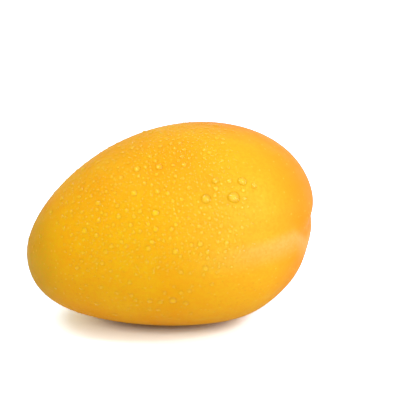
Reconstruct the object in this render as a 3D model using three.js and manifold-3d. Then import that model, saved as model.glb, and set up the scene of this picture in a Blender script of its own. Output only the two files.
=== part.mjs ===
// A whole ripe mango lying on its side: the fruit, and the stub of stalk left on it.
// Millimetres, +Z up. The long axis runs along X, with the narrow tip at -X and the
// stalk end at +X. The origin is in the middle of the underside of the bounding box.

import * as THREE from "three";
import { mergeVertices } from "three/addons/utils/BufferGeometryUtils.js";
import Module from "manifold-3d";

// The body, from its long axis out: how far it reaches, how much it narrows towards
// the tip, and how full its two ends are
const HALF_LENGTH = 54;
const CROWN = { reach: 39.3, taper: 0.148, fullness: -0.087 };
const BELLY = { reach: 34.9, taper: 0.157, fullness: 0.213 };
const SIDES = { reach: 40.8, taper: 0.233, fullness: 0.04 };

// The long axis: it climbs from the tip to the stalk end, and bows a little
const AXIS_CLIMB = 3.3;
const AXIS_CLIMB_AT_ENDS = 4.3;
const AXIS_DIP = 2.0;
const AXIS_BOW = 2.0;
const AXIS_SKEW = 1.5;

// The furrow: degrees along the body from the tip, and degrees round it
const FURROW_DEPTH = 1.2;
const FURROW_WIDTH = 4.5;
const FURROW_FADES_IN = [95, 140];
const FURROW_FADES_OUT = [166, 180];
const FURROW_ANGLE = 165;
const FURROW_TURN = 17;
const FURROW_TURNS_OVER = [135, 151];

// Low swells on the skin, each round a place on it: a hollow and two swells under the
// furrow, and the faint knob near the tip
const SWELLS = [
  { place: [49, -22, 0], height: -0.5, spread: 9 },
  { place: [44, -26, -12], height: 0.4, spread: 10 },
  { place: [25, -24, -28], height: 0.8, spread: 12 },
  { place: [-44.4, 3.2, 15], height: 0.4, spread: 4.5 },
];

// The dimple and the stalk: degrees along the body and round it
const STALK_ALONG = 169;
const STALK_ROUND = 20;
const DIMPLE_DEPTH = 2.2;
const DIMPLE_SPREAD = 8;
const STALK_RADIUS = 2.0;
const RING_RADIUS = 3.7;
const STALK_HEIGHT = 2.4;
const SOCKET_DEPTH = 1.5;
const GAP = 0.3;

// The spot that the fruit rests on is this far up into the rounded belly
const FLAT_DEPTH = 0.6;

const STEPS_ALONG = 50;
const STEPS_ROUND = 66;
const STALK_SIDES = 24;

// A ramp from 0 to 1 between two values, level at both
function ramp([from, to], value) {
  return THREE.MathUtils.smoothstep(value, from, to);
}

// How far one side of the body reaches from the long axis
function reach(side, cosine, sine) {
  return side.reach * sine * (1 - side.taper * cosine + side.fullness * cosine ** 2);
}

// The body without its relief
function bodyPoint(along, round) {
  const cosine = Math.cos(along);
  const sine = Math.sin(along);
  const up = reach(CROWN, cosine, sine);
  const down = reach(BELLY, cosine, sine);
  const lift = Math.sin(round);
  const y = reach(SIDES, cosine, sine) * Math.cos(round);
  const z = ((up + down) * lift + (up - down) * lift ** 2) / 2;
  const axisY = AXIS_BOW * sine ** 2 + AXIS_SKEW * cosine;
  const axisZ = AXIS_DIP * cosine ** 2 - AXIS_CLIMB * cosine - AXIS_CLIMB_AT_ENDS * cosine ** 3;
  return new THREE.Vector3(-HALF_LENGTH * cosine, axisY + y, axisZ + z);
}

// The furrow's depth at a place on the skin
function furrowDepth(along, round) {
  const alongDegrees = THREE.MathUtils.radToDeg(along);
  const middle = FURROW_ANGLE + FURROW_TURN * ramp(FURROW_TURNS_OVER, alongDegrees);
  const aside = THREE.MathUtils.euclideanModulo(THREE.MathUtils.radToDeg(round) - middle + 180, 360) - 180;
  const across = THREE.MathUtils.degToRad(aside) * reach(SIDES, Math.cos(along), Math.sin(along));
  const fade = ramp(FURROW_FADES_IN, alongDegrees) * (1 - ramp(FURROW_FADES_OUT, alongDegrees));
  return FURROW_DEPTH * fade * Math.exp(-((across / FURROW_WIDTH) ** 2));
}

// A round hump of height 1 about a place
function hump(point, place, spread) {
  return Math.exp(-point.distanceToSquared(place) / spread ** 2);
}

const stalkAlong = THREE.MathUtils.degToRad(STALK_ALONG);
const stalkRound = THREE.MathUtils.degToRad(STALK_ROUND);
const dimplePlace = bodyPoint(stalkAlong, stalkRound);

// A point on the skin: the body, pushed in or out by the relief
function skinPoint(along, round) {
  const point = bodyPoint(along, round);
  let relief = -furrowDepth(along, round);
  relief -= DIMPLE_DEPTH * hump(point, dimplePlace, DIMPLE_SPREAD);
  for (const { place, height, spread } of SWELLS) {
    relief += height * hump(point, new THREE.Vector3(...place), spread);
  }
  return point.setLength(point.length() + relief);
}

// The outward direction of the body at the stalk
function stalkDirection() {
  const step = 0.02;
  const alongBody = bodyPoint(stalkAlong + step, stalkRound).sub(bodyPoint(stalkAlong - step, stalkRound));
  const roundBody = bodyPoint(stalkAlong, stalkRound + step).sub(bodyPoint(stalkAlong, stalkRound - step));
  return roundBody.cross(alongBody).normalize();
}

// The skin as a closed mesh: rings of points between the tip and the stalk end
function skinGeometry() {
  const points = [skinPoint(0, 0)];
  for (let i = 1; i < STEPS_ALONG; i++) {
    for (let j = 0; j < STEPS_ROUND; j++) {
      points.push(skinPoint((Math.PI * i) / STEPS_ALONG, (2 * Math.PI * j) / STEPS_ROUND));
    }
  }
  points.push(skinPoint(Math.PI, 0));
  const last = points.length - 1;
  const at = (i, j) => 1 + (i - 1) * STEPS_ROUND + (j % STEPS_ROUND);
  const faces = [];
  for (let j = 0; j < STEPS_ROUND; j++) {
    faces.push(0, at(1, j + 1), at(1, j));
    faces.push(last, at(STEPS_ALONG - 1, j), at(STEPS_ALONG - 1, j + 1));
    for (let i = 1; i < STEPS_ALONG - 1; i++) {
      faces.push(at(i, j), at(i, j + 1), at(i + 1, j));
      faces.push(at(i, j + 1), at(i + 1, j + 1), at(i + 1, j));
    }
  }
  const geometry = new THREE.BufferGeometry().setFromPoints(points);
  geometry.setIndex(faces);
  return geometry;
}

const wasm = await Module();
wasm.setup();

function toSolid(geometry) {
  const bare = geometry.clone();
  bare.deleteAttribute("normal");
  bare.deleteAttribute("uv");
  const merged = mergeVertices(bare);
  return new wasm.Manifold(new wasm.Mesh({
    numProp: 3,
    vertProperties: new Float32Array(merged.attributes.position.array),
    triVerts: new Uint32Array(merged.index.array),
  }));
}

function toGeometry(solid) {
  const mesh = solid.getMesh();
  const geometry = new THREE.BufferGeometry();
  geometry.setAttribute("position", new THREE.BufferAttribute(new Float32Array(mesh.vertProperties), 3));
  geometry.setIndex(new THREE.BufferAttribute(new Uint32Array(mesh.triVerts), 1));
  geometry.computeVertexNormals();
  return geometry;
}

// Where the stalk stands: its own +Y axis points out of the fruit
const stalkOut = stalkDirection();
const stalkFoot = dimplePlace.clone().setLength(dimplePlace.length() - DIMPLE_DEPTH);
const stalkFrame = new THREE.Matrix4().compose(
  stalkFoot,
  new THREE.Quaternion().setFromUnitVectors(new THREE.Vector3(0, 1, 0), stalkOut),
  new THREE.Vector3(1, 1, 1),
);

// The block that leaves the flat spot
function underTheFlat(skin) {
  skin.computeBoundingBox();
  const top = skin.boundingBox.min.z + FLAT_DEPTH;
  const block = new THREE.BoxGeometry(4 * HALF_LENGTH, 4 * HALF_LENGTH, 2 * HALF_LENGTH);
  return block.translate(0, 0, top - HALF_LENGTH);
}

// The plain round hole that the stalk's foot stands in
function socket() {
  const radius = RING_RADIUS + GAP;
  const hole = new THREE.CylinderGeometry(radius, radius, 2 * DIMPLE_SPREAD, STALK_SIDES);
  return hole.translate(0, DIMPLE_SPREAD - SOCKET_DEPTH, 0).applyMatrix4(stalkFrame);
}

function fruitGeometry() {
  const skin = skinGeometry();
  return toGeometry(toSolid(skin).subtract(toSolid(underTheFlat(skin))).subtract(toSolid(socket())));
}

// The stub: a foot in the socket, a ring at the skin, a waist, and a cut end
function stalkGeometry() {
  const foot = -SOCKET_DEPTH + GAP;
  const profile = [
    [0, foot],
    [RING_RADIUS - 0.4, foot],
    [RING_RADIUS, foot + 0.4],
    [RING_RADIUS, 0.5],
    [RING_RADIUS - 0.5, 0.9],
    [STALK_RADIUS + 0.4, 1.1],
    [STALK_RADIUS, 1.5],
    [STALK_RADIUS + 0.1, STALK_HEIGHT - 0.4],
    [STALK_RADIUS - 0.3, STALK_HEIGHT],
    [0, STALK_HEIGHT - 0.3],
  ].map(([radius, height]) => new THREE.Vector2(radius, height));
  return new THREE.LatheGeometry(profile, STALK_SIDES).applyMatrix4(stalkFrame);
}

const skinFinish = new THREE.MeshStandardMaterial({ color: 0xf9b61e, roughness: 0.42, metalness: 0 });
const stalkFinish = new THREE.MeshStandardMaterial({ color: 0x6b3a14, roughness: 0.85, metalness: 0 });

const fruit = new THREE.Mesh(fruitGeometry(), skinFinish);
fruit.name = "mango_fruit";
const stalk = new THREE.Mesh(stalkGeometry(), stalkFinish);
stalk.name = "stalk_stub";

const mango = new THREE.Group();
mango.add(fruit, stalk);
const box = new THREE.Box3().setFromObject(mango);
const middle = box.getCenter(new THREE.Vector3());
mango.position.set(-middle.x, -middle.y, -box.min.z);

export default mango;
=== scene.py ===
import math
import random

import bpy
import numpy as np
from mathutils import Matrix, Vector, noise
from mathutils.bvhtree import BVHTree


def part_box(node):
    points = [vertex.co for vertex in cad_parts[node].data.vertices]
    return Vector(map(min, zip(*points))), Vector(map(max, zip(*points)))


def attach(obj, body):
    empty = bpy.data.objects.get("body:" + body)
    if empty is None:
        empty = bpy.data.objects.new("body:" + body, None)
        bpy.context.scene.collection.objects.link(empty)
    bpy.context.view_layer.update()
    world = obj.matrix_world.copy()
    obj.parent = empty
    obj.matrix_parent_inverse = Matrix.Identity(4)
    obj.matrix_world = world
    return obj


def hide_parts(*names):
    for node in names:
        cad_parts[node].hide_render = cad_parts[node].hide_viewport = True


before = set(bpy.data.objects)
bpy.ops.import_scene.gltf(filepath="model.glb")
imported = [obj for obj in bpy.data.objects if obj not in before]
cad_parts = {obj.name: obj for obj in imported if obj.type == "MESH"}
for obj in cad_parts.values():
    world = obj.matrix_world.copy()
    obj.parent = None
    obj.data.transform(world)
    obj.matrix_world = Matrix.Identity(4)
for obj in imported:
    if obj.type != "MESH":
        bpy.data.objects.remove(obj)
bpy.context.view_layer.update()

# A ripe mango lying on its side, wet with drops of water, on a plain white floor.
# Lengths are in metres where no comment says otherwise, in the model's own frame: the tip is at
# -X and the stalk end at +X.
MM = 0.001
SEED = 11

# The body, from its long axis out, as in the model
HALF_LENGTH = 54 * MM
CROWN = (39.3 * MM, 0.148, -0.087)
BELLY = (34.9 * MM, 0.157, 0.213)
SIDES = (40.8 * MM, 0.233, 0.04)
AXIS_CLIMB = 3.3 * MM
AXIS_CLIMB_AT_ENDS = 4.3 * MM
AXIS_DIP = 2.0 * MM
AXIS_BOW = 2.0 * MM
AXIS_SKEW = 1.5 * MM

# The furrow: degrees along the body from the tip, and degrees round it
FURROW_DEPTH = 1.2 * MM
FURROW_WIDTH = 4.5 * MM
FURROW_FADES_IN = (95, 140)
FURROW_FADES_OUT = (166, 180)
FURROW_ANGLE = 165
FURROW_TURN = 17
FURROW_TURNS_OVER = (135, 151)

# The spot that the fruit rests on is this far up into the rounded belly
FLAT_DEPTH = 0.6 * MM

# Low swells on the skin, each a place, a height and a spread in millimetres of the body's own axes
KNOB = (-44.4, 3.2, 15)
LOWER_LOBE = (44, -26, -12)
SWELLS = (
    ((49, -22, 0), -0.5, 9),
    (LOWER_LOBE, 0.4, 10),
    ((25, -24, -28), 0.8, 12),
    (KNOB, 0.4, 4.5),
)

# How finely the skin is made: steps along it from the tip to the stalk end, and steps round it
STEPS_ALONG = 220
STEPS_ROUND = 320

# The stalk and its dimple
STALK_ALONG = math.radians(169)
STALK_ROUND = math.radians(20)
DIMPLE_DEPTH = 2.2 * MM
DIMPLE_SPREAD = 8 * MM
STALK_RADIUS = 2.0 * MM
RING_RADIUS = 3.7 * MM
STALK_HEIGHT = 2.4 * MM
STALK_SIDES = 72

# The stub's outline from its foot to the middle of its cut end, each ring a radius and a height,
# and which of the rings, counted from 0, is the edge of the cut
STALK_PROFILE = (
    (RING_RADIUS * 0.9, -1.2 * MM),
    (RING_RADIUS, -0.6 * MM),
    (RING_RADIUS * 1.02, 0.0),
    (RING_RADIUS, 0.35 * MM),
    (RING_RADIUS * 0.93, 0.7 * MM),
    (RING_RADIUS * 0.8, 0.9 * MM),
    (STALK_RADIUS * 1.25, 1.05 * MM),
    (STALK_RADIUS * 1.08, 1.3 * MM),
    (STALK_RADIUS, 1.5 * MM),
    (STALK_RADIUS, 1.8 * MM),
    (STALK_RADIUS * 1.04, STALK_HEIGHT - 0.4 * MM),
    (STALK_RADIUS * 0.98, STALK_HEIGHT - 0.15 * MM),
    (STALK_RADIUS * 0.85, STALK_HEIGHT),
    (STALK_RADIUS * 0.6, STALK_HEIGHT - 0.1 * MM),
    (STALK_RADIUS * 0.3, STALK_HEIGHT - 0.3 * MM),
    (STALK_RADIUS * 0.1, STALK_HEIGHT - 0.35 * MM),
)
CUT_EDGE_RING = 11

# The bark: the size and the height of its lumps and of its grain, its ribs, which turn as they
# rise, and the share of the roughness that goes up and down too
BARK_LUMPS = (1.1 * MM, 0.16 * MM)
BARK_GRAIN = (0.4 * MM, 0.07 * MM)
RIBS = 9
RIB_HEIGHT = 0.05 * MM
RIB_TURN = 4.4 / MM
BARK_UNEVENNESS = 0.8

# Round patches of colour, each a place, a spread and a strength: where the skin is yellowest, with a
# painted sheen of the key lamp on that cheek, the orange of the lower lobe, the pink of the knob, and the
# ring of colour round the stalk
CHEEK_AND_SHEEN_PATCH = ((20, -33, 16), 23, 0.9)
FLANK_PATCH = ((-26, -29, 2), 17, 0.6)
LOBE_PATCH = (LOWER_LOBE, 12, 0.4)
KNOB_PATCH = (KNOB, 4.5, 0.3)
SCAR_SPREAD = 6 * MM
SCAR_STRENGTH = 0.8

# The pale painted highlight below the furrow: degrees along the body from the tip, and how far below the
# furrow's middle
PAINTED_HIGHLIGHT_FADES_IN = (86, 132)
PAINTED_HIGHLIGHT_FADES_OUT = (152, 172)
PAINTED_HIGHLIGHT_STARTS = (1 * MM, 6 * MM)
PAINTED_HIGHLIGHT_ENDS = (6 * MM, 16 * MM)
PAINTED_HIGHLIGHT_STRENGTH = 0.38

# Where the other colours of the skin come in, in millimetres of the body's own x, y and z. Those of
# the belly and the tip are counted downwards and towards the tip.
ORANGE_X = (25, 47)
FAR_X = (-4, 26)
FAR_Y = (-16, 10)
BELLY_Z = (6, 24)
FAR_BLUSH_AND_SHEEN_X = (-4, 34)
FAR_BLUSH_AND_SHEEN_Y = (-8, 26)
STALK_END_X = (38, 54)
STALK_END_Y = (-14, 10)
TIP_X = (40, 54)

# How strong they are there
ORANGE_FAR = 1.1
ORANGE_BELLY = 0.12
ORANGE_MOST = 0.9
BLUSH_AND_RIM_SHEEN_FAR = 0.5
BLUSH_END = 0.36
BLUSH_END_FAR = 0.3
OLIVE_TIP = 0.5

# Where the water thins out: under the fruit, at the tip, at the stalk end and on the far side, and
# the share of it that is left under the fruit or gone at the tip and on the far side. Low on the
# stalk end it thins out nearer to the tip. No drop lies lower than the last value.
WET_NORMAL_Z = (-0.1, 0.4)
WET_UNDER = 0.04
DRY_TIP_X = (31, 45)
DRY_TIP = 0.95
DRY_END_X = (5, 25)
DRY_END_SLANT = 0.8
DRY_END_SLANTS_BELOW_Z = 5
DRY_FAR_Y = (-3, 11)
DRY_FAR = 0.97
DRY_BELOW = 6 * MM

# The camera: its place as seen from the middle of the fruit, its lens as a focal length in pixels,
# and where the photograph has that middle
IMAGE_SIZE = 400
CAMERA_AZIMUTH = math.radians(-12)
CAMERA_ELEVATION = math.radians(22)
CAMERA_DISTANCE = 0.45
SENSOR = 36.0
FOCAL_PIXELS = 1187.8
FRUIT_MIDDLE_PIXEL = (169.6, 231.5)


def ramp(low, high, value):
    """A ramp from 0 to 1 between two values, level at both."""
    share = np.clip((value - low) / (high - low), 0, 1)
    return share * share * (3 - 2 * share)


def reach(side, cosine, sine):
    """How far one side of the body reaches from the long axis."""
    widest, taper, fullness = side
    return widest * sine * (1 - taper * cosine + fullness * cosine**2)


def body_points(along, around):
    """The body without its relief, at angles along it from the tip and round it."""
    cosine, sine = np.cos(along), np.sin(along)
    up, down = reach(CROWN, cosine, sine), reach(BELLY, cosine, sine)
    lift = np.sin(around)
    x = -HALF_LENGTH * cosine + 0 * around
    y = reach(SIDES, cosine, sine) * np.cos(around) + AXIS_BOW * sine**2 + AXIS_SKEW * cosine
    z = ((up + down) * lift + (up - down) * lift**2) / 2
    z = z + AXIS_DIP * cosine**2 - AXIS_CLIMB * cosine - AXIS_CLIMB_AT_ENDS * cosine**3
    return np.stack([x, y, z], axis=-1)


def furrow_across(along, around):
    """The distance from the middle of the furrow, round the body."""
    middle = FURROW_ANGLE + FURROW_TURN * ramp(*FURROW_TURNS_OVER, np.degrees(along))
    aside = (np.degrees(around) - middle + 180) % 360 - 180
    return np.radians(aside) * reach(SIDES, np.cos(along), np.sin(along))


def fade(along, fades_in, fades_out):
    """A ramp in and a ramp out again, at degrees along the body from the tip."""
    degrees = np.degrees(along)
    return ramp(*fades_in, degrees) * (1 - ramp(*fades_out, degrees))


def hump(points, place, spread):
    """A round hump of height 1 about a place."""
    return np.exp(-((points - place) ** 2).sum(axis=-1) / spread**2)


DIMPLE_PLACE = body_points(np.array(STALK_ALONG), np.array(STALK_ROUND))


def skin_points(along, around):
    """The skin: the body, pushed in or out by its relief."""
    points = body_points(along, around)
    shown = fade(along, FURROW_FADES_IN, FURROW_FADES_OUT)
    relief = -FURROW_DEPTH * shown * np.exp(-((furrow_across(along, around) / FURROW_WIDTH) ** 2))
    relief = relief - DIMPLE_DEPTH * hump(points, DIMPLE_PLACE, DIMPLE_SPREAD)
    for place, height, spread in SWELLS:
        relief = relief + height * MM * hump(points, np.array(place) * MM, spread * MM)
    length = np.linalg.norm(points, axis=-1)
    return points * ((length + relief) / length)[..., None]


def body_outward(along, around, step=0.01):
    """The outward direction of the body at these two angles."""
    by_along = body_points(along + step, around) - body_points(along - step, around)
    by_around = body_points(along, around + step) - body_points(along, around - step)
    normal = np.cross(by_around, by_along)
    return normal / np.linalg.norm(normal, axis=-1, keepdims=True)


def camera_axes():
    """The camera's own directions: back from the fruit, right and up."""
    back = Vector((
        math.sin(CAMERA_AZIMUTH) * math.cos(CAMERA_ELEVATION),
        -math.cos(CAMERA_AZIMUTH) * math.cos(CAMERA_ELEVATION),
        math.sin(CAMERA_ELEVATION),
    ))
    right = Vector((math.cos(CAMERA_AZIMUTH), math.sin(CAMERA_AZIMUTH), 0))
    return back, right, back.cross(right)


def make_camera(middle):
    """The camera, turned a little so that the fruit's middle falls where the photograph has it."""
    back, right, up = camera_axes()
    aside = (IMAGE_SIZE / 2 - FRUIT_MIDDLE_PIXEL[0]) / FOCAL_PIXELS
    above = (FRUIT_MIDDLE_PIXEL[1] - IMAGE_SIZE / 2) / FOCAL_PIXELS
    data = bpy.data.cameras.new("camera")
    data.sensor_width = SENSOR
    data.lens = FOCAL_PIXELS * SENSOR / IMAGE_SIZE
    camera = bpy.data.objects.new("camera", data)
    camera.location = middle + back * CAMERA_DISTANCE
    camera.rotation_mode = "QUATERNION"
    camera.rotation_quaternion = (right * aside + up * above - back).to_track_quat("-Z", "Y")
    bpy.context.collection.objects.link(camera)
    bpy.context.scene.camera = camera
    return camera


def pixel_ray(camera, pixel):
    """The ray from the camera through a pixel of the square image."""
    x = (pixel[0] - IMAGE_SIZE / 2) / FOCAL_PIXELS
    y = (IMAGE_SIZE / 2 - pixel[1]) / FOCAL_PIXELS
    direction = camera.rotation_quaternion @ Vector((x, y, -1))
    return camera.location.copy(), direction.normalized()


def mesh_object(name, points, faces, material):
    """A smooth-shaded mesh object with one material."""
    mesh = bpy.data.meshes.new(name)
    mesh.from_pydata([tuple(p) for p in points], [], faces)
    mesh.polygons.foreach_set("use_smooth", [True] * len(mesh.polygons))
    mesh.materials.append(material)
    made = bpy.data.objects.new(name, mesh)
    bpy.context.collection.objects.link(made)
    return made


class Graph:
    """The nodes of a material or a world. An input is a number, a colour or another node's output."""

    def __init__(self, owner):
        self.owner = owner
        owner.use_nodes = True
        self.tree = owner.node_tree
        self.tree.nodes.clear()

    def node(self, kind, inputs=None, **settings):
        """A new node, with its inputs and settings."""
        made = self.tree.nodes.new(kind)
        for key, value in settings.items():
            setattr(made, key, value)
        for key, value in (inputs or {}).items():
            if isinstance(value, bpy.types.NodeSocket):
                self.tree.links.new(value, made.inputs[key])
            else:
                made.inputs[key].default_value = value
        return made

    def mix(self, factor, first, second):
        """A colour between two."""
        made = self.node("ShaderNodeMix", {0: factor, 6: first, 7: second}, data_type="RGBA")
        return made.outputs[2]

    def spread(self, value, low, high, to_low=0.0, to_high=1.0):
        """A value stretched from one range to another, and held within it."""
        inputs = {0: value, 1: low, 2: high, 3: to_low, 4: to_high}
        made = self.node("ShaderNodeMapRange", inputs, interpolation_type="SMOOTHSTEP")
        return made.outputs[0]

    def maths(self, operation, first, second):
        """Two values put together."""
        return self.node("ShaderNodeMath", {0: first, 1: second}, operation=operation).outputs[0]

    def noise(self, where, size, detail=2.0, roughness=0.5):
        """Soft noise with features of about that size in metres, from 0 to 1."""
        inputs = {"Vector": where, "Scale": 1 / size, "Detail": detail, "Roughness": roughness}
        return self.node("ShaderNodeTexNoise", inputs).outputs[0]

    def attribute(self, name):
        """A value that the mesh holds for each of its points."""
        return self.node("ShaderNodeAttribute", attribute_name=name).outputs["Fac"]

    def finish(self, shader, output="ShaderNodeOutputMaterial"):
        """Joins the shader to the output."""
        self.node(output, {"Surface": shader})
        return self.owner


# Skin colours, linear
YELLOW = (0.93, 0.56, 0.010, 1)
GOLD = (0.93, 0.43, 0.002, 1)
# Yellow with a painted sheen of the key lamp: more blue than the skin's own yellow
CHEEK_AND_PAINTED_SHEEN = (0.94, 0.54, 0.040, 1)
ORANGE = (0.93, 0.335, 0.010, 1)
# Pink of a blush, with raised blue: on the far side it is partly a painted sheen along the top rim
BLUSH_AND_RIM_SHEEN = (0.92, 0.26, 0.055, 1)
OLIVE = (0.50, 0.33, 0.012, 1)
# A pale painted highlight, laid along the furrow's lower lip
PAINTED_FURROW_HIGHLIGHT = (0.95, 0.62, 0.24, 1)
LENTICEL = (0.95, 0.60, 0.07, 1)
LENTICEL_PIT = (0.70, 0.30, 0.02, 1)
SCAR = (0.82, 0.34, 0.02, 1)

# The skin's yellow patches, mottling, pale dots, darker pits and freckles: the size or spacing of
# each, and how strongly it colours the skin
PATCH_SIZE, PATCH_STRENGTH = 26 * MM, 0.55
MOTTLE_SIZE, MOTTLE_STRENGTH = 5 * MM, 0.18
DOT_SPACING, DOT_STRENGTH = 2.6 * MM, 0.6
PIT_SPACING, PIT_STRENGTH = 1.9 * MM, 0.32
FRECKLE_SIZE, FRECKLE_STRENGTH = 1.1 * MM, 0.26

# The skin's relief: lumps, with the height of the grain and the depth of the dots as shares of theirs
SKIN_RELIEF = 0.08 * MM
LUMP_SIZE = 4 * MM
GRAIN_SIZE, GRAIN_HEIGHT = 0.5 * MM, 0.25
DOT_DEPTH = 0.3

# The stalk's colours, linear, and the size of its streaks and their relief
BARK = (0.36, 0.15, 0.04, 1)
BARK_DARK = (0.13, 0.035, 0.006, 1)
CUT_END = (0.016, 0.004, 0.002, 1)
STREAK_SIZE = 0.7 * MM
STREAK_RELIEF = 0.2 * MM

# What the drops do to the light: painted shade round their foot and painted focused light below their
# middle, between which shares of their radius the one goes over into the other, and where the water
# itself takes the foot's painted shade
LARGE_RIM_PAINTED_SHADE = (0.80, 0.80, 0.28, 1)
LARGE_LIT = (1.38, 1.75, 3.00, 1)
LARGE_LIT_WITHIN = (0.05, 0.78)
SMALL_RIM_PAINTED_SHADE = (0.84, 0.78, 0.40, 1)
SMALL_LIT = (1.17, 1.56, 1.85, 1)
SMALL_LIT_WITHIN = (0.3, 0.9)
RIM_SHOWS = (0.45, 0.95)

# The floor: what it shows and what it throws back, the painted shade, darker and warmer, that it shows in
# the gap under the fruit, how far that gap reaches and how open it is, and half the length of the floor's
# sides
FLOOR_SHOWN = (1.58, 1.95, 2.45, 1)
FLOOR_THROWN = (0.72, 0.72, 0.72, 1)
GAP_PAINTED_SHADE = (0.45, 0.25, 0.02, 1)
GAP_REACH = 7 * MM
GAP_OPENNESS = (0.0, 0.36)
GAP_SAMPLES = 12
FLOOR_REACH = 3.0

# The room: its light from the left and from the right, the x of a direction between which the one
# goes over into the other, and what the camera sees of it
ROOM_LEFT = (0.48, 0.45, 0.22, 1)
ROOM_RIGHT = (0.79, 0.78, 0.78, 1)
ROOM_TURNS_OVER = (-1.0, 0.3)
ROOM_SEEN = (1, 1, 1, 1)

# The lamps: the height at which they are aimed, and for each the direction in which it stands from
# there, its distance, its size and its power in watts
LAMPS_AIM_HEIGHT = 36 * MM
LAMPS = {
    "key": ((0.30, -0.84, 0.42), 0.9, 0.6, 1.78),
    "spark": ((0.48, -0.56, 0.67), 0.9, 0.08, 1.0),
    "front_fill": ((-0.3, -0.93, 0.1), 0.9, 0.5, 0.4),
    "left_top": ((-0.40, 0.0, 0.87), 0.9, 0.45, 2.15),
    "right_side": ((0.92, -0.36, 0.12), 0.7, 0.25, 0.7),
}


def marks(g, where, spacing, middle, edge):
    """Small round marks about that far apart: 1 in the middle of each, and 0 between them."""
    cells = g.node("ShaderNodeTexVoronoi", {"Vector": where, "Scale": 1 / spacing, "Randomness": 1.0})
    return g.spread(cells.outputs["Distance"], middle, edge, 1.0, 0.0)


def skin_colour(g, where, mottle, dots):
    """Gold and yellow in soft patches, then the masks' colours, then the fine marks."""
    patches = g.spread(g.noise(where, PATCH_SIZE, 2.0), 0.35, 0.65)
    colour = g.mix(g.maths("MULTIPLY", patches, PATCH_STRENGTH), GOLD, YELLOW)
    # The yellowest cheek, with a painted sheen of the key lamp on it
    colour = g.mix(g.attribute("cheek_and_painted_sheen"), colour, CHEEK_AND_PAINTED_SHEEN)
    colour = g.mix(g.attribute("flank"), colour, YELLOW)
    colour = g.mix(g.maths("MULTIPLY", mottle, MOTTLE_STRENGTH), colour, ORANGE)
    colour = g.mix(g.attribute("orange"), colour, ORANGE)
    colour = g.mix(g.attribute("blush_and_rim_sheen"), colour, BLUSH_AND_RIM_SHEEN)
    colour = g.mix(g.attribute("olive"), colour, OLIVE)
    # The pale painted highlight along the furrow
    colour = g.mix(g.attribute("painted_furrow_highlight"), colour, PAINTED_FURROW_HIGHLIGHT)
    colour = g.mix(g.attribute("scar"), colour, SCAR)
    colour = g.mix(g.maths("MULTIPLY", dots, DOT_STRENGTH), colour, LENTICEL)
    pits = marks(g, where, PIT_SPACING, 0.08, 0.24)
    colour = g.mix(g.maths("MULTIPLY", pits, PIT_STRENGTH), colour, LENTICEL_PIT)
    freckles = g.spread(g.noise(where, FRECKLE_SIZE, 2.0), 0.35, 0.65)
    return g.mix(g.maths("MULTIPLY", freckles, FRECKLE_STRENGTH), colour, ORANGE)


def skin_bump(g, where, dots):
    """Faint lumps and grain, with the pale dots a little sunk."""
    grain = g.noise(where, GRAIN_SIZE, 3.0, 0.6)
    lumps = g.noise(where, LUMP_SIZE, 2.0)
    height = g.maths("ADD", g.maths("MULTIPLY", grain, GRAIN_HEIGHT), lumps)
    height = g.maths("SUBTRACT", height, g.maths("MULTIPLY", dots, DOT_DEPTH))
    bump = g.node("ShaderNodeBump", {"Strength": 0.35, "Distance": SKIN_RELIEF, "Height": height})
    return bump.outputs[0]


def skin_material():
    """Ripe mango skin: gold and yellow, a blush at the stalk end, fine pale dots, a soft sheen, and
    painted sheen and highlight on the cheek, the top rim and along the furrow.
    """
    g = Graph(bpy.data.materials.new("mango_skin"))
    where = g.node("ShaderNodeTexCoord").outputs["Object"]
    mottle = g.spread(g.noise(where, MOTTLE_SIZE, 3.0), 0.3, 0.7)
    dots = marks(g, where, DOT_SPACING, 0.07, 0.2)
    shader = g.node("ShaderNodeBsdfPrincipled", {
        "Base Color": skin_colour(g, where, mottle, dots),
        "Roughness": g.spread(mottle, 0.0, 1.0, 0.42, 0.52),
        "Specular IOR Level": 0.14,
        "Specular Tint": (1.0, 0.8, 0.4, 1),
        "Subsurface Weight": 0.12,
        "Subsurface Radius": (1.0, 0.45, 0.1),
        "Subsurface Scale": 3 * MM,
        "Normal": skin_bump(g, where, dots),
    })
    return g.finish(shader.outputs[0])


def stalk_material():
    """Dry brown stalk: woody streaks, near black at the cut end."""
    g = Graph(bpy.data.materials.new("dry_stalk"))
    where = g.node("ShaderNodeTexCoord").outputs["Object"]
    streaks = g.noise(where, STREAK_SIZE, 4.0, 0.65)
    colour = g.mix(g.spread(streaks, 0.3, 0.7), BARK_DARK, BARK)
    colour = g.mix(g.attribute("cut"), colour, CUT_END)
    bump = g.node("ShaderNodeBump", {"Strength": 0.7, "Distance": STREAK_RELIEF, "Height": streaks})
    shader = g.node("ShaderNodeBsdfPrincipled", {
        "Base Color": colour,
        "Roughness": g.spread(streaks, 0.2, 0.8, 0.65, 0.9),
        "Specular IOR Level": 0.2,
        "Normal": bump.outputs[0],
    })
    return g.finish(shader.outputs[0])


def water_material(name, rim, lit, lit_within):
    """Clear water with painted shade round its foot. Lamps shine through it, and light the skin below its
    middle more brightly, as painted focused light.
    """
    g = Graph(bpy.data.materials.new(name))
    painted_rim_shade = g.mix(g.spread(g.attribute("rim"), *RIM_SHOWS), (1, 1, 1, 1), rim)
    water = g.node("ShaderNodeBsdfPrincipled", {
        "Base Color": painted_rim_shade,
        "Roughness": 0.1,
        "IOR": 1.33,
        "Transmission Weight": 1.0,
    })
    below = g.mix(g.spread(g.attribute("rim"), *lit_within), lit, rim)
    clear = g.node("ShaderNodeBsdfTransparent", {"Color": below})
    path = g.node("ShaderNodeLightPath").outputs
    through = g.maths("MAXIMUM", path["Is Shadow Ray"], path["Is Diffuse Ray"])
    both = g.node("ShaderNodeMixShader", {0: through, 1: water.outputs[0], 2: clear.outputs[0]})
    return g.finish(both.outputs[0])


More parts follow.
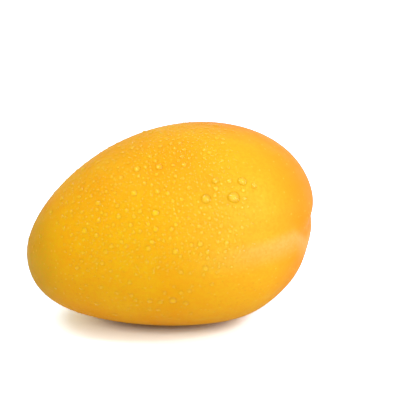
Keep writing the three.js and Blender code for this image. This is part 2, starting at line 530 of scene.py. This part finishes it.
def floor_material():
    """A matt white floor that throws back less than it shows, with painted shade, darker and warmer,
    under the fruit.
    """
    g = Graph(bpy.data.materials.new("white_floor"))
    nearby = g.node("ShaderNodeAmbientOcclusion", {"Distance": GAP_REACH}, samples=GAP_SAMPLES)
    openness = g.spread(nearby.outputs["AO"], *GAP_OPENNESS)
    camera_ray = g.node("ShaderNodeLightPath").outputs["Is Camera Ray"]
    # Painted shade: the floor shows darker and warmer where the fruit closes it in
    shown = g.mix(openness, GAP_PAINTED_SHADE, FLOOR_SHOWN)
    shader = g.node("ShaderNodeBsdfDiffuse", {"Color": g.mix(camera_ray, FLOOR_THROWN, shown)})
    return g.finish(shader.outputs[0])


def skin_grid():
    """The angles of the fine skin's points: a tip, rings, and a stalk end."""
    along = np.linspace(0, math.pi, STEPS_ALONG + 1)[1:-1]
    around = np.linspace(0, 2 * math.pi, STEPS_ROUND, endpoint=False)
    grid = np.meshgrid(along, around, indexing="ij")
    ends = ((0, math.pi), (0, 0))
    return [np.concatenate([[tip], angles.ravel(), [end]]) for angles, (tip, end) in zip(grid, ends)]


def skin_faces():
    """Quads between the rings, and triangles at the two ends."""
    rings = STEPS_ALONG - 1
    last = 1 + rings * STEPS_ROUND
    faces = []
    for j in range(STEPS_ROUND):
        k = (j + 1) % STEPS_ROUND
        faces.append((0, 1 + k, 1 + j))
        for i in range(rings - 1):
            start = 1 + i * STEPS_ROUND
            faces.append((start + j, start + k, start + STEPS_ROUND + k, start + STEPS_ROUND + j))
        start = 1 + (rings - 1) * STEPS_ROUND
        faces.append((start + j, start + k, last))
    return faces


def settled(points):
    """The skin's points with the flat spot that the fruit rests on."""
    return np.maximum(points, (-np.inf, -np.inf, points[:, 2].min() + FLAT_DEPTH))


def body_middle():
    """Where the middle of the body lies in the model's frame."""
    return Vector(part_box("mango_fruit")[0]) - Vector(settled(skin_points(*skin_grid())).min(axis=0))


def patch(points, values):
    """A round patch of colour, whose place and spread are in millimetres."""
    place, spread, strength = values
    return strength * hump(points, np.array(place) * MM, spread * MM)


def skin_masks(along, around):
    """How far each of the skin's colours shows at each point: fully at 1, and not at all at 0."""
    points = skin_points(along, around)
    x, y, z = (points / MM).T
    across = furrow_across(along, around)
    orange = ramp(*ORANGE_X, x) + ORANGE_FAR * ramp(*FAR_Y, y) * ramp(*FAR_X, x)
    orange = orange + ORANGE_BELLY * ramp(*BELLY_Z, -z) + patch(points, LOBE_PATCH)
    # On the far side, blush and a painted sheen along the top rim; at the stalk end, blush
    blush_and_rim_sheen = BLUSH_AND_RIM_SHEEN_FAR * ramp(*FAR_BLUSH_AND_SHEEN_Y, y) * ramp(*FAR_BLUSH_AND_SHEEN_X, x)
    blush_and_rim_sheen = blush_and_rim_sheen + (BLUSH_END + BLUSH_END_FAR * ramp(*STALK_END_Y, y)) * ramp(*STALK_END_X, x)
    # The painted highlight: a band just below the furrow's middle
    painted_furrow_highlight = ramp(*PAINTED_HIGHLIGHT_STARTS, across) * (1 - ramp(*PAINTED_HIGHLIGHT_ENDS, across))
    return {
        "cheek_and_painted_sheen": patch(points, CHEEK_AND_SHEEN_PATCH),
        "flank": patch(points, FLANK_PATCH),
        "orange": np.clip(orange, 0, ORANGE_MOST),
        "blush_and_rim_sheen": blush_and_rim_sheen + patch(points, KNOB_PATCH),
        "olive": OLIVE_TIP * ramp(*TIP_X, -x),
        "painted_furrow_highlight": PAINTED_HIGHLIGHT_STRENGTH * painted_furrow_highlight * fade(along, PAINTED_HIGHLIGHT_FADES_IN, PAINTED_HIGHLIGHT_FADES_OUT),
        "scar": SCAR_STRENGTH * hump(points, DIMPLE_PLACE, SCAR_SPREAD),
    }


def make_fruit(middle):
    """The fruit's skin: the same form as the model's, with a finer surface."""
    angles = skin_grid()
    points = settled(skin_points(*angles)) + np.array(middle)
    fruit = mesh_object("mango_skin", points, skin_faces(), skin_material())
    for name, values in skin_masks(*angles).items():
        fruit.data.attributes.new(name, "FLOAT", "POINT").data.foreach_set("value", values.astype(float))
    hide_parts("mango_fruit")
    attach(fruit, "root")
    return fruit


def lathe(profile, sides, place):
    """A closed turned shape. place puts a radius, a height and an angle where they belong."""
    points = []
    for radius, height in profile:
        for j in range(sides):
            angle = 2 * math.pi * j / sides
            points.append(place(radius, height, angle))
    faces = []
    for i in range(len(profile) - 1):
        for j in range(sides):
            k = (j + 1) % sides
            faces.append((i * sides + j, i * sides + k, (i + 1) * sides + k, (i + 1) * sides + j))
    faces.append(tuple(range(sides))[::-1])
    faces.append(tuple(range((len(profile) - 1) * sides, len(profile) * sides)))
    return points, faces


def make_stalk(middle):
    """The stub of stalk: a ring at the skin, a waist, and a ragged cut end."""
    direction = Vector(body_outward(np.array(STALK_ALONG), np.array(STALK_ROUND)))
    place = Vector(DIMPLE_PLACE)
    foot = place * ((place.length - DIMPLE_DEPTH) / place.length) + middle
    turn = direction.to_track_quat("Z", "Y").to_matrix().to_4x4()
    to_model = Matrix.Translation(foot) @ turn

    def rough_bark(radius, height, angle):
        outer = Vector((radius * math.cos(angle), radius * math.sin(angle), height))
        rough = sum(noise.noise(outer / size) * rise for size, rise in (BARK_LUMPS, BARK_GRAIN))
        out = rough + RIB_HEIGHT * math.cos(RIBS * angle + RIB_TURN * height)
        moved = Vector((out * math.cos(angle), out * math.sin(angle), rough * BARK_UNEVENNESS))
        return to_model @ (outer + moved)

    points, faces = lathe(STALK_PROFILE, STALK_SIDES, rough_bark)
    stalk = mesh_object("stalk_stub_bark", points, faces, stalk_material())
    rings = np.arange(len(points)) // STALK_SIDES
    cut = np.clip((rings - CUT_EDGE_RING + 1) / 2, 0, 1)
    stalk.data.attributes.new("cut", "FLOAT", "POINT").data.foreach_set("value", cut)
    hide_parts("stalk_stub")
    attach(stalk, "root")


def drop_shape(radius, contact, sides, rings):
    """A low closed dome, its foot sunk under the skin, as points of a radius, an angle and a height."""
    sink = SINK * radius
    ball = radius / math.sin(contact)
    points = [(0, 0, ball * (1 - math.cos(contact)))]
    for i in range(1, rings + 1):
        angle = contact * i / rings
        ring, height = ball * math.sin(angle), ball * (math.cos(angle) - math.cos(contact))
        points += [(ring, 2 * math.pi * j / sides, height) for j in range(sides)]
    points += [(FOOT * radius, 2 * math.pi * j / sides, -sink) for j in range(sides)]
    points.append((0, 0, -sink))
    faces = []
    last = len(points) - 1
    for j in range(sides):
        k = (j + 1) % sides
        faces.append((0, 1 + j, 1 + k))
        for i in range(rings):
            low, high = 1 + i * sides, 1 + (i + 1) * sides
            faces.append((low + j, high + j, high + k, low + k))
        foot = 1 + rings * sides
        faces.append((foot + j, last, foot + k))
    return points, faces


class Drops:
    """Drops of water gathered into one mesh."""

    def __init__(self, name, sides, rings):
        self.name, self.sides, self.rings = name, sides, rings
        self.points, self.faces, self.rims = [], [], []

    def add(self, place, normal, radius, contact):
        """One drop, a little out of round."""
        shape, faces = drop_shape(radius, contact, self.sides, self.rings)
        turn = normal.to_track_quat("Z", "Y")
        lean = random.uniform(0, 2 * math.pi)
        oval = random.uniform(0, OVAL)
        egg = random.uniform(0, EGG)
        start = len(self.points)
        for ring, angle, height in shape:
            stretch = 1 + oval * math.cos(2 * (angle - lean)) + egg * math.cos(3 * angle + lean)
            local = Vector((ring * stretch * math.cos(angle), ring * stretch * math.sin(angle), height))
            self.points.append(place + turn @ local)
            self.rims.append(ring / radius)
        self.faces += [tuple(start + i for i in face) for face in faces]

    def finish(self, material):
        """The mesh object, with each point's distance from its drop's axis as a share of the radius."""
        made = mesh_object(self.name, self.points, self.faces, material)
        made.data.attributes.new("rim", "FLOAT", "POINT").data.foreach_set("value", self.rims)
        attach(made, "root")


# The drops that the photograph shows one by one: pixel, and radius in millimetres
LARGE_DROPS = (
    ((233.8, 197.5), 2.3),
    ((242.2, 181.4), 1.8),
    ((254.0, 185.6), 1.3),
    ((206.0, 199.0), 1.9),
    ((215.4, 180.7), 1.5),
)
MEDIUM_DROPS = (
    ((155.4, 212.8), 1.5),
    ((175.6, 251.4), 1.3),
    ((159.0, 167.0), 1.5),
    ((167.6, 193.3), 1.1),
    ((134.0, 193.0), 1.4),
    ((137.0, 169.0), 1.5),
    ((150.0, 301.0), 1.2),
    ((160.5, 302.0), 1.1),
    ((173.0, 300.5), 1.6),
    ((181.0, 292.5), 1.0),
    ((186.0, 303.0), 1.2),
)

# The drops laid at random: how many, their least, greatest and likeliest radius in millimetres,
# and the least and greatest angle in degrees at which they meet the skin
MEDIUM = (180, (0.7, 1.35, 0.9), (38, 48))
SMALL = (2400, (0.36, 1.1, 0.6), (38, 50))
MIST = (4600, (0.16, 0.42, 0.24), (45, 60))

# The angle at which the large and the medium drops of the photograph meet the skin
LARGE_CONTACT = math.radians(54)
MEDIUM_CONTACT = math.radians(42)

# How a drop is shaped: how deep its foot is sunk, how wide that is, and how far its outline may
# be from round, as shares of its radius
SINK = 0.18
FOOT = 0.97
OVAL = 0.09
EGG = 0.05

# How drops are kept apart: places tried for each, the least distance as a share of the two radii
# together, and the size of the cells in which near drops are looked for
TRIES = 8
APART = 1.08
CELL = 4.2 * MM


def wetness(point, normal):
    """How thickly drops lie at a place on the skin, from 0 to 1."""
    x, y, z = point / MM
    from_above = WET_UNDER + (1 - WET_UNDER) * ramp(*WET_NORMAL_Z, normal.z)
    near_tip = 1 - DRY_TIP * ramp(*DRY_TIP_X, -x)
    stalk_end = 1 - ramp(*DRY_END_X, x + DRY_END_SLANT * max(0.0, DRY_END_SLANTS_BELOW_Z - z))
    far_side = 1 - DRY_FAR * ramp(*DRY_FAR_Y, y)
    return float(from_above * near_tip * stalk_end * far_side)


def cell_of(place):
    """The cell of a coarse grid that a place lies in."""
    return tuple(int(v // CELL) for v in place)


def scatter(drops, kind, taken, fruit, middle):
    """Lays drops at random on the wet skin, clear of those that are there."""
    count, radii, contact = kind
    mesh = fruit.data
    areas = np.empty(len(mesh.polygons))
    mesh.polygons.foreach_get("area", areas)
    draws = np.random.default_rng(count)
    chosen = draws.choice(len(areas), size=count * TRIES, p=areas / areas.sum())
    made = 0
    for index in chosen:
        face = mesh.polygons[int(index)]
        place, normal = face.center, face.normal
        if random.random() > wetness(place - middle, normal) or place.z < DRY_BELOW:
            continue
        radius = random.triangular(*radii) * MM
        cell = cell_of(place)
        near = [t for i in (-1, 0, 1) for j in (-1, 0, 1) for k in (-1, 0, 1)
                for t in taken.get((cell[0] + i, cell[1] + j, cell[2] + k), ())]
        if any((place - other).length < APART * (radius + size) for other, size in near):
            continue
        taken.setdefault(cell, []).append((place.copy(), radius))
        drops.add(place, normal, radius, math.radians(random.uniform(*contact)))
        made += 1
        if made == count:
            break


def lay_seen(drops, seen, contact, taken, tree, camera):
    """Lays drops where the photograph shows them."""
    for pixel, radius in seen:
        place, normal, _, _ = tree.ray_cast(*pixel_ray(camera, pixel))
        drops.add(place, normal, radius * MM, contact)
        taken.setdefault(cell_of(place), []).append((place, radius * MM))


def make_drops(fruit, middle, camera):
    """All the water on the fruit: a few large drops, many smaller ones, and a fine mist."""
    clear = water_material("clear_water", LARGE_RIM_PAINTED_SHADE, LARGE_LIT, LARGE_LIT_WITHIN)
    fine = water_material("fine_water", SMALL_RIM_PAINTED_SHADE, SMALL_LIT, SMALL_LIT_WITHIN)
    mesh = fruit.data
    tree = BVHTree.FromPolygons([v.co for v in mesh.vertices], [tuple(p.vertices) for p in mesh.polygons])
    large = Drops("water_drops_large", sides=28, rings=8)
    small = Drops("water_drops_small", sides=12, rings=4)
    mist = Drops("water_mist", sides=7, rings=2)
    taken = {}
    lay_seen(large, LARGE_DROPS, LARGE_CONTACT, taken, tree, camera)
    lay_seen(small, MEDIUM_DROPS, MEDIUM_CONTACT, taken, tree, camera)
    scatter(small, MEDIUM, taken, fruit, middle)
    scatter(small, SMALL, taken, fruit, middle)
    scatter(mist, MIST, taken, fruit, middle)
    large.finish(clear)
    small.finish(fine)
    mist.finish(fine)


def make_floor():
    """The white floor that the fruit lies on."""
    corners = [(x * FLOOR_REACH, y * FLOOR_REACH, 0) for x, y in ((-1, -1), (1, -1), (1, 1), (-1, 1))]
    floor = mesh_object("floor", corners, [(0, 1, 2, 3)], floor_material())


def area_light(name, direction, distance, size, power):
    """A square soft light that looks at the fruit from a direction."""
    data = bpy.data.lights.new(name, "AREA")
    data.size = size
    data.energy = power
    light = bpy.data.objects.new(name, data)
    towards = Vector(direction).normalized()
    light.location = towards * distance + Vector((0, 0, LAMPS_AIM_HEIGHT))
    light.rotation_mode = "QUATERNION"
    light.rotation_quaternion = (-towards).to_track_quat("-Z", "Y")
    bpy.context.collection.objects.link(light)


def make_room():
    """A white studio: soft light from all round, dimmer and warmer from the left."""
    g = Graph(bpy.data.worlds.new("white_studio"))
    direction = g.node("ShaderNodeTexCoord").outputs["Generated"]
    aside = g.node("ShaderNodeSeparateXYZ", {0: direction}).outputs["X"]
    colour = g.mix(g.spread(aside, *ROOM_TURNS_OVER), ROOM_LEFT, ROOM_RIGHT)
    light = g.node("ShaderNodeBackground", {"Color": colour})
    seen = g.node("ShaderNodeBackground", {"Color": ROOM_SEEN})
    camera_ray = g.node("ShaderNodeLightPath").outputs["Is Camera Ray"]
    both = g.node("ShaderNodeMixShader", {0: camera_ray, 1: light.outputs[0], 2: seen.outputs[0]})
    bpy.context.scene.world = g.finish(both.outputs[0], "ShaderNodeOutputWorld")
    bpy.context.scene.view_settings.view_transform = "Standard"


random.seed(SEED)
middle = body_middle()
camera = make_camera(middle)
fruit = make_fruit(middle)
make_stalk(middle)
make_drops(fruit, middle, camera)
make_floor()
make_room()
for name, values in LAMPS.items():
    area_light(name, *values)
